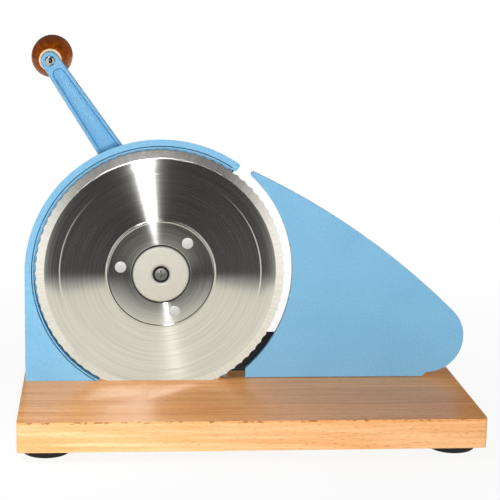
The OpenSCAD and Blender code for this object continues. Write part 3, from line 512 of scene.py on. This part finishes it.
def make_spindle():
    """Handle spindle: a domed head, r = R cos a and y = face - h sin a, on a shaft that runs through the
    handle."""
    low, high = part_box("handle_spindle")
    radius, shaft, height = (high.x - low.x) / 2, 3 * MM, 2.6 * MM
    a = np.linspace(1.54, 0, 14)
    dome = np.stack([radius * np.cos(a), low.y + height * (1 - np.sin(a))], -1)
    end = [(shaft, low.y + height + 0.2 * MM), (shaft, high.y - 0.6 * MM), (shaft - 0.6 * MM, high.y)]
    mesh = grid_mesh("spindle_domed", turned_grid(np.concatenate([dome, end]), HANDLE_AXIS, 64), caps=True)
    finish_mesh(mesh, "crank", [chrome], ["handle_spindle"], sharp=40)


def make_handle():
    """Handle: r = near + (R - near) (1 - (1 - t / belly)^3.5) up to the belly, then part of an ellipse,
    with a rounded near edge and a recess in the far end. The pale ring before it has rounded edges."""
    low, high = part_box("handle")
    length, radius = high.y - low.y, (high.x - low.x) / 2
    near, far, bore, recess, deep, belly = 9 * MM, 9 * MM, 3.1 * MM, 7 * MM, 9 * MM, 0.72
    t = np.linspace(0.012, 1, 60)
    swell = near + (radius - near) * (1 - np.clip(1 - t / belly, 0, 1) ** 3.5)
    tail = np.sqrt(radius ** 2 - (radius ** 2 - far ** 2) * (np.clip(t - belly, 0, 1) / (1 - belly)) ** 2)
    body = np.stack([np.where(t < belly, swell, tail), low.y + length * t], -1)
    start = [(bore, low.y), (near - 1.2 * MM, low.y), (near - 0.4 * MM, low.y + 0.25 * MM)]
    end = [(recess, high.y), (recess, high.y - deep), (bore, high.y - deep)]
    whole = np.concatenate([start, body, end])
    grip = grid_mesh("handle_grip", turned_grid(whole, HANDLE_AXIS), wrap_rows=True)
    finish_mesh(grip, "handle", [handle_wood], ["handle"], sharp=50)
    low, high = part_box("handle_washer")
    outer = (high.x - low.x) / 2
    profile = rounded([(bore, low.y), (outer, low.y), (outer, high.y), (bore, high.y)], 0.5 * MM)
    ring = grid_mesh("handle_ring", turned_grid(profile, HANDLE_AXIS, 64), wrap_rows=True)
    finish_mesh(ring, "crank", [ring_wood], ["handle_washer"], sharp=50)


def make_feet():
    """Rubber feet: a profile of (radius, z) turned round an upright line, with a rounded foot and a screw
    recess. They are left out of mirror images, as the board above them is."""
    for node in ("foot_front_left", "foot_front_right", "foot_rear_left", "foot_rear_right"):
        low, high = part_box(node)
        radius, height = (high.x - low.x) / 2, high.z - low.z
        well, bore, seat = 5.5 * MM, 2.1 * MM, 4.25 * MM
        profile = rounded([(well, seat), (well, 0), (radius - 1.5 * MM, 0), (radius, 2.2 * MM),
                           (radius - 0.6 * MM, height), (bore, height), (bore, seat)], 1.2 * MM)
        lying = turned_grid(profile, (0, 0), 72)
        centre = (low + high) / 2
        grid = np.stack([lying[..., 0] + centre.x, lying[..., 2] + centre.y, lying[..., 1]], -1)
        mesh = grid_mesh(node + "_pad", grid[:, ::-1], wrap_rows=True)
        pad = finish_mesh(mesh, "base", [rubber], [node], sharp=50)
        pad.visible_glossy = False


def make_nut(node, body):
    """A hexagon nut with chamfered corners: r(a) = half across flats / cos(a from the middle of a flat),
    held under a chamfer circle at both faces."""
    low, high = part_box(node)
    centre = ((low + high) / 2).xz
    flat = (high.x - low.x) / 2 * math.cos(math.radians(30))
    spots = np.array([v.co for v in NODES[node].data.vertices])[:, [0, 2]]
    bore = np.hypot(*(spots - centre).T).min()
    a = np.linspace(0, TURN, 96, endpoint=False)
    hexagon = flat / np.cos((a - math.radians(30) + math.pi / 6) % (math.pi / 3) - math.pi / 6)
    chamfer = 0.9 * MM
    limits, depths = np.array([(1.2, chamfer), (1.06, 0.4 * chamfer), (0.99, 0.0)]).T
    held = np.minimum(hexagon, flat * limits[:, None])
    r = np.concatenate([np.full((1, len(a)), bore), held[::-1], held, np.full((1, len(a)), bore)])
    y = np.concatenate([[low.y], low.y + depths[::-1], high.y - depths, [high.y]])[:, None]
    grid = np.stack(np.broadcast_arrays(centre[0] + r * np.cos(a), y, centre[1] + r * np.sin(a)), -1)
    mesh = grid_mesh(node + "_hex", grid, wrap_rows=True)
    finish_mesh(mesh, body, [zinc], [node], sharp=25)


def make_dial_marks():
    """White strokes on the dial's back, every third one longer: thin bars, each a tube of four corners that
    runs outwards at its angle."""
    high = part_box("thickness_dial")[1]
    count, half, rise = 24, 0.35 * MM, 0.12 * MM
    a = TURN * np.arange(count) / count
    out = np.stack([np.cos(a), np.sin(a)], -1)
    side = np.stack([-np.sin(a), np.cos(a)], -1)
    reach = np.stack([np.where(np.arange(count) % 3 == 0, 8.2, 10.0), np.full(count, 12.6)], -1) * MM
    corners = np.array([(-1, -0.1), (-1, 1), (1, 1), (1, -0.1)])
    flat = (DIAL_AXIS + reach[:, :, None, None] * out[:, None, None]
            + half * corners[:, :1] * side[:, None, None])
    y = np.broadcast_to(high.y + rise * corners[:, 1], flat.shape[:-1])
    points = np.stack([flat[..., 0], y, flat[..., 1]], -1)
    for i, bar in enumerate(points):
        piece = grid_mesh(f"dial_mark_{i + 1}", bar[:, ::-1], caps=True)
        finish_mesh(piece, "dial", [white_ink], sharp=30)


def guard_draft(points):
    """The guard's round top drawn in towards the back, as a casting's draft: r falls by a part of the
    depth."""
    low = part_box("housing")[0]
    out = points[:, [0, 2]] - BLADE_AXIS
    r = np.hypot(*out.T)
    rise = np.clip(out[:, 1] / (20 * MM), 0, 1)
    draft = 0.15 * np.clip(points[:, 1] - low.y, 0, 15 * MM) * rise * (r > 99 * MM)
    points[:, [0, 2]] = BLADE_AXIS + out * (1 - draft / np.maximum(r, MM))[:, None]
    return points


make_blade()
make_rivets()
make_cap()
make_cap_screw()
make_groove_shadow_strip()
make_crank_arm()
make_spindle()
make_handle()
make_feet()
make_nut("axle_nut", "base")
make_nut("crank_nut", "crank")
make_nut("handle_nut", "crank")
make_nut("dial_nut", "dial")
make_dial_marks()
board = dressed("base_board", "base", beech, 1.0 * MM)
# Out of mirror images, because its orange would fill the blade's lower half
board.visible_glossy = False
dressed("housing", "base", paint, 0.4 * MM, reshape=guard_draft)
dressed("stop_plate", "plate", paint, 0.8 * MM)
dressed("guide_block", "base", nylon_black, 1.0 * MM)
dressed("thickness_dial", "dial", nylon_black, 0.5 * MM)
dressed("dial_retainer", "base", nylon_black, 0.5 * MM)


# Studio

def make_camera():
    """The photograph's view: a long lens a little above and to the left, turned right and down, and
    slightly rolled."""
    data = bpy.data.cameras.new("camera")
    data.sensor_width = 36.0
    data.lens = 108.0
    camera = bpy.data.objects.new("camera", data)
    right = Vector((0.99505, -0.09713, 0.02121))
    up = Vector((-0.00145, 0.19912, 0.97998))
    turn = Matrix((right, up, right.cross(up))).transposed().to_4x4()
    camera.matrix_world = Matrix.Translation((-0.1099, -1.1215, 0.3586)) @ turn
    bpy.context.scene.collection.objects.link(camera)
    bpy.context.scene.camera = camera


def hang(data, place, target):
    """A lamp at a place, turned to face a point."""
    lamp = bpy.data.objects.new(data.name, data)
    lamp.location = place
    lamp.rotation_euler = (Vector(target) - Vector(place)).to_track_quat("-Z", "Y").to_euler()
    bpy.context.scene.collection.objects.link(lamp)
    return lamp


def make_lamp(name, place, target, size, power):
    """An upright rectangular lamp."""
    data = bpy.data.lights.new(name, "AREA")
    data.shape = "RECTANGLE"
    data.size, data.size_y = size
    data.energy = power
    return hang(data, place, target)


def make_snoot(name, place, target, cone, power):
    """A lamp with a soft-edged snoot that lights one side of the board: its cone is an angle in degrees."""
    data = bpy.data.lights.new(name, "SPOT")
    data.energy = power
    data.color = linear("#e4f3ff")[:3]
    data.shadow_soft_size = 0.12
    data.spot_size = math.radians(cone)
    data.spot_blend = 1.0
    return hang(data, place, target)


def make_sheet(name, corners, material):
    """A four-cornered sheet of the stage."""
    mesh = bpy.data.meshes.new(name)
    mesh.from_pydata(corners, [], [(0, 1, 2, 3)])
    mesh.materials.append(material)
    sheet = bpy.data.objects.new(name, mesh)
    bpy.context.scene.collection.objects.link(sheet)
    return sheet


def make_floor():
    """Pale paper that fades to white for the camera and for reflections, and keeps the shadow near the
    object. Reflections see it a little warm."""
    material = bpy.data.materials.new("floor_paper")
    tree = new_tree(material)
    seen = add(tree, "LightPath")
    away = add(tree, "VectorMath", {"operation": "LENGTH"}, n0=add(tree, "TexCoord").outputs["Object"])
    fade = add(tree, "MapRange", Value=away, From_Min=0.2, From_Max=0.6, To_Min=0.9, To_Max=1.0)
    views = add(tree, "Math", {"operation": "MAXIMUM"}, n0=seen.outputs["Is Camera Ray"],
                n1=seen.outputs["Is Glossy Ray"])
    share = add(tree, "Math", {"operation": "MULTIPLY"}, n0=views, n1=fade)
    paper = add(tree, "BsdfPrincipled", Base_Color=linear("#eeeeec"), Roughness=0.9)
    tint = add(tree, "Mix", {"data_type": "RGBA"}, Factor=seen.outputs["Is Camera Ray"],
               n6=linear("#f8f4e6"), n7=(1, 1, 1, 1))
    white = add(tree, "Emission", Color=tint, Strength=1.0)
    add(tree, "OutputMaterial", Surface=add(tree, "MixShader", n0=share, n1=paper, n2=white))
    make_sheet("floor", [(-4, -4, 0), (4, -4, 0), (4, 4, 0), (-4, 4, 0)], material)


def make_card():
    """A card in front of the object that only reflections see: dark in the middle, and pale at its sides
    and its foot, as a dark room between two screens, so that the blade's upper half mirrors it."""
    material = bpy.data.materials.new("card_grey")
    tree = new_tree(material)
    axes = add(tree, "SeparateXYZ", Vector=add(tree, "TexCoord").outputs["Object"])
    middle = add(tree, "Math", {"operation": "ADD"}, n0=axes.outputs["X"], n1=0.05)
    aside = add(tree, "Math", {"operation": "ABSOLUTE"}, n0=middle)
    screens = add(tree, "MapRange", Value=aside, From_Min=0.18, From_Max=0.27, To_Min=0.055, To_Max=1.2)
    foot = add(tree, "MapRange", Value=axes.outputs["Z"], From_Max=0.025, To_Min=0.7, To_Max=0.055)
    light = add(tree, "Math", {"operation": "MAXIMUM"}, n0=screens, n1=foot)
    glow = add(tree, "Emission", Color=linear("#f6f4f0"), Strength=light)
    add(tree, "OutputMaterial", Surface=glow)
    y, half, height = -0.41, 1.6, 0.9
    corners = [(-half, y, 0), (half, y, 0), (half, y, height), (-half, y, height)]
    card = make_sheet("card", corners, material)
    card.visible_camera = False
    card.visible_diffuse = False
    card.visible_shadow = False


def make_world():
    """A dim even light all round, white to the camera."""
    world = bpy.data.worlds.new("studio")
    tree = new_tree(world)
    seen = add(tree, "LightPath")
    strength = add(tree, "MapRange", Value=seen.outputs["Is Camera Ray"], To_Min=0.13, To_Max=1.0)
    light = add(tree, "Background", Color=(1, 1, 1, 1), Strength=strength)
    add(tree, "OutputWorld", Surface=light)
    bpy.context.scene.world = world


make_camera()
KEY_PLACE, KEY_TARGET = (-0.09, -1.15, 0.32), (-0.03, 0, 0.1)
make_lamp("key", KEY_PLACE, KEY_TARGET, (0.02, 0.12), 6.2)
# The rest of the key is out of mirror images, so that the blade's highlight stays narrow
soft_key = make_lamp("soft_key", KEY_PLACE, KEY_TARGET, (0.03, 0.12), 3.5)
soft_key.visible_glossy = False
make_lamp("overhead", (-0.4, -0.3, 1.4), (-0.05, -0.03, 0), (0.7, 0.7), 2.7)
make_snoot("front_left", (-0.5, -0.5, 0.9), (-0.17, -0.12, 0.03), 20, 33)
# Fills for the sides and the back, out of mirror images too
for name, place, power in (("rear", (0.4, 1.8, 0.24), 26), ("left", (-1.7, 0.4, 0.24), 7),
                           ("right", (1.7, 0.4, 0.24), 7)):
    fill = make_lamp(name, place, (0, 0, 0.1), (1.0, 0.4), power)
    fill.visible_glossy = False
make_floor()
make_card()
make_world()
bpy.context.scene.view_settings.view_transform = "Standard"
